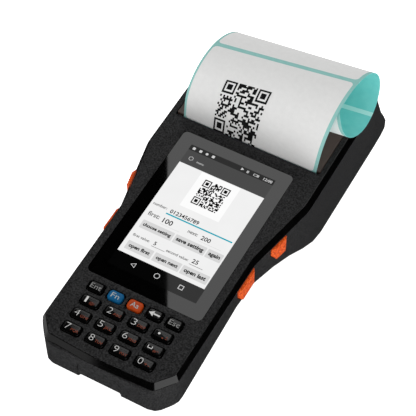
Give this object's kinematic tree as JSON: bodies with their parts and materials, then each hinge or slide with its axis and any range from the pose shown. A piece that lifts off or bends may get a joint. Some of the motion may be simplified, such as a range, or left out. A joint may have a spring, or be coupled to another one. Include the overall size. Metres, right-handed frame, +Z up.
{
  "type": "handheld payment terminal with label printer",
  "caption": "Handheld payment terminal: keypad grip, touch screen and a wide head whose hinged lid covers a label printer, with a printed label curling out.",
  "frame": {"origin": "middle of the footprint on the table, below the terminal as it rests on its two rubber feet", "axes": "+X to the right of the keypad, +Y from the keypad end to the printer end, +Z up from the table; the top face leans 9 degrees towards the keypad end"},
  "size_m": [0.0994, 0.2458, 0.0943],
  "materials": {
    "cover_plastic": "fine spark-textured black moulding",
    "housing_plastic": "fine spark-textured black moulding",
    "gloss_trim": "polished black",
    "cover_glass": "black-backed touch glass",
    "display": "display module",
    "copper": "copper antenna foil",
    "board": "green solder mask",
    "silicone": "grey silicone",
    "battery_wrap": "shrink-wrapped cell",
    "steel": "plain steel",
    "dark_rubber": "black rubber",
    "frame_steel": "pressed steel",
    "head_ceramic": "thermal head",
    "tear_steel": "cut edge",
    "motor_can": "motor can",
    "gear_plastic": "natural acetal",
    "paper": "thermal label paper",
    "core_card": "wound card",
    "smoked": "smoked translucent",
    "window_red": "dark red window",
    "sensor_black": "sensor case",
    "key_black": "gloss black key",
    "key_blue": "gloss blue key",
    "key_orange": "gloss orange key",
    "button_orange": "textured orange",
    "screw_steel": "black zinc screws"
  },
  "bodies": {
    "terminal": {"front_cover": "cover_plastic", "trim_band": "gloss_trim", "rear_housing": "housing_plastic", "touch_glass": "cover_glass", "display_panel": "display", "nfc_antenna": "copper", "main_board": "board", "keypad_mat": "silicone", "battery": "battery_wrap", "battery_cover": "housing_plastic", "speaker": "sensor_black", "usb_socket": "steel", "printer_frame": "frame_steel", "print_head": "head_ceramic", "tear_bar": "tear_steel", "stepper_motor": "motor_can", "idler_stud": "steel", "roll_holders": "sensor_black", "label_web": "paper", "lid_hinge_pin": "steel", "scan_engine": "sensor_black", "scan_window": "window_red", "heel_foot": "dark_rubber", "belly_foot": "dark_rubber", "screws": "screw_steel"},
    "lid": {"printer_lid": "smoked", "label_strip": "paper"},
    "platen": {"platen_shaft": "steel", "platen_rubber": "dark_rubber", "platen_gear": "gear_plastic"},
    "roll": {"label_roll": "paper", "roll_core": "core_card"},
    "idler": {"idler_gear": "gear_plastic"},
    "motor_rotor": {"motor_shaft": "steel", "motor_pinion": "gear_plastic"},
    "port_flap": {"port_cover": "dark_rubber"},
    "key_enter_body": {"key_enter": "key_black"},
    "key_fn_body": {"key_fn": "key_blue"},
    "key_caps_body": {"key_caps": "key_orange"},
    "key_back_body": {"key_back": "key_black"},
    "key_escape_body": {"key_escape": "key_black"},
    "key_1_body": {"key_1": "key_black"},
    "key_2_body": {"key_2": "key_black"},
    "key_3_body": {"key_3": "key_black"},
    "key_dot_body": {"key_dot": "key_black"},
    "key_4_body": {"key_4": "key_black"},
    "key_5_body": {"key_5": "key_black"},
    "key_6_body": {"key_6": "key_black"},
    "key_space_body": {"key_space": "key_black"},
    "key_7_body": {"key_7": "key_black"},
    "key_8_body": {"key_8": "key_black"},
    "key_9_body": {"key_9": "key_black"},
    "key_0_body": {"key_0": "key_black"},
    "right_release_body": {"right_release": "button_orange"},
    "left_release_body": {"left_release": "button_orange"},
    "right_trigger_body": {"right_trigger": "button_orange"},
    "left_trigger_body": {"left_trigger": "button_orange"}
  },
  "joints": [
    {"name": "lid_hinge", "type": "hinge", "parent": "terminal", "child": "lid", "pos_m": [0, 0.09405, 0.05382], "axis": [-1, 0, 0], "range_deg": [0, 75]},
    {"name": "roll_spin", "type": "hinge", "parent": "terminal", "child": "roll", "pos_m": [0, 0.07314, 0.03046], "axis": [1, 0, 0], "continuous": true},
    {"name": "platen_spin", "type": "hinge", "parent": "lid", "child": "platen", "pos_m": [0, 0.03925, 0.04211], "axis": [1, 0, 0], "continuous": true},
    {"name": "idler_spin", "type": "hinge", "parent": "terminal", "child": "idler", "pos_m": [0, 0.04204, 0.02908], "axis": [1, 0, 0], "continuous": true},
    {"name": "motor_spin", "type": "hinge", "parent": "terminal", "child": "motor_rotor", "pos_m": [0, 0.0326, 0.02247], "axis": [1, 0, 0], "continuous": true},
    {"name": "port_flap_hinge", "type": "hinge", "parent": "terminal", "child": "port_flap", "pos_m": [0, -0.12032, 0.01308], "axis": [-1, 0, 0], "range_deg": [0, 100]},
    {"name": "key_enter_press", "type": "slide", "parent": "terminal", "child": "key_enter_body", "axis": [0, 0.1565, -0.9877], "range_m": [0, 0.0008], "stiffness_N_per_m": 900},
    {"name": "key_fn_press", "type": "slide", "parent": "terminal", "child": "key_fn_body", "axis": [0, 0.1565, -0.9877], "range_m": [0, 0.0008], "stiffness_N_per_m": 900},
    {"name": "key_caps_press", "type": "slide", "parent": "terminal", "child": "key_caps_body", "axis": [0, 0.1565, -0.9877], "range_m": [0, 0.0008], "stiffness_N_per_m": 900},
    {"name": "key_back_press", "type": "slide", "parent": "terminal", "child": "key_back_body", "axis": [0, 0.1565, -0.9877], "range_m": [0, 0.0008], "stiffness_N_per_m": 900},
    {"name": "key_escape_press", "type": "slide", "parent": "terminal", "child": "key_escape_body", "axis": [0, 0.1565, -0.9877], "range_m": [0, 0.0008], "stiffness_N_per_m": 900},
    {"name": "key_1_press", "type": "slide", "parent": "terminal", "child": "key_1_body", "axis": [0, 0.1565, -0.9877], "range_m": [0, 0.0008], "stiffness_N_per_m": 900},
    {"name": "key_2_press", "type": "slide", "parent": "terminal", "child": "key_2_body", "axis": [0, 0.1565, -0.9877], "range_m": [0, 0.0008], "stiffness_N_per_m": 900},
    {"name": "key_3_press", "type": "slide", "parent": "terminal", "child": "key_3_body", "axis": [0, 0.1565, -0.9877], "range_m": [0, 0.0008], "stiffness_N_per_m": 900},
    {"name": "key_dot_press", "type": "slide", "parent": "terminal", "child": "key_dot_body", "axis": [0, 0.1565, -0.9877], "range_m": [0, 0.0008], "stiffness_N_per_m": 900},
    {"name": "key_4_press", "type": "slide", "parent": "terminal", "child": "key_4_body", "axis": [0, 0.1565, -0.9877], "range_m": [0, 0.0008], "stiffness_N_per_m": 900},
    {"name": "key_5_press", "type": "slide", "parent": "terminal", "child": "key_5_body", "axis": [0, 0.1565, -0.9877], "range_m": [0, 0.0008], "stiffness_N_per_m": 900},
    {"name": "key_6_press", "type": "slide", "parent": "terminal", "child": "key_6_body", "axis": [0, 0.1565, -0.9877], "range_m": [0, 0.0008], "stiffness_N_per_m": 900},
    {"name": "key_space_press", "type": "slide", "parent": "terminal", "child": "key_space_body", "axis": [0, 0.1565, -0.9877], "range_m": [0, 0.0008], "stiffness_N_per_m": 900},
    {"name": "key_7_press", "type": "slide", "parent": "terminal", "child": "key_7_body", "axis": [0, 0.1565, -0.9877], "range_m": [0, 0.0008], "stiffness_N_per_m": 900},
    {"name": "key_8_press", "type": "slide", "parent": "terminal", "child": "key_8_body", "axis": [0, 0.1565, -0.9877], "range_m": [0, 0.0008], "stiffness_N_per_m": 900},
    {"name": "key_9_press", "type": "slide", "parent": "terminal", "child": "key_9_body", "axis": [0, 0.1565, -0.9877], "range_m": [0, 0.0008], "stiffness_N_per_m": 900},
    {"name": "key_0_press", "type": "slide", "parent": "terminal", "child": "key_0_body", "axis": [0, 0.1565, -0.9877], "range_m": [0, 0.0008], "stiffness_N_per_m": 900},
    {"name": "right_release_press", "type": "slide", "parent": "terminal", "child": "right_release_body", "axis": [-0.9786, 0.2032, 0.0322], "range_m": [0, 0.0008], "stiffness_N_per_m": 900},
    {"name": "left_release_press", "type": "slide", "parent": "terminal", "child": "left_release_body", "axis": [0.9786, 0.2032, 0.0322], "range_m": [0, 0.0008], "stiffness_N_per_m": 900},
    {"name": "right_trigger_press", "type": "slide", "parent": "terminal", "child": "right_trigger_body", "axis": [-1, 0, 0], "range_m": [0, 0.0008], "stiffness_N_per_m": 900},
    {"name": "left_trigger_press", "type": "slide", "parent": "terminal", "child": "left_trigger_body", "axis": [1, 0, 0], "range_m": [0, 0.0008], "stiffness_N_per_m": 900}
  ],
  "couplings": [
    {"joint": "platen_spin", "follows": "roll_spin", "ratio": 4.5455},
    {"joint": "idler_spin", "follows": "roll_spin", "ratio": -3.1469},
    {"joint": "motor_spin", "follows": "roll_spin", "ratio": 6.8182}
  ]
}
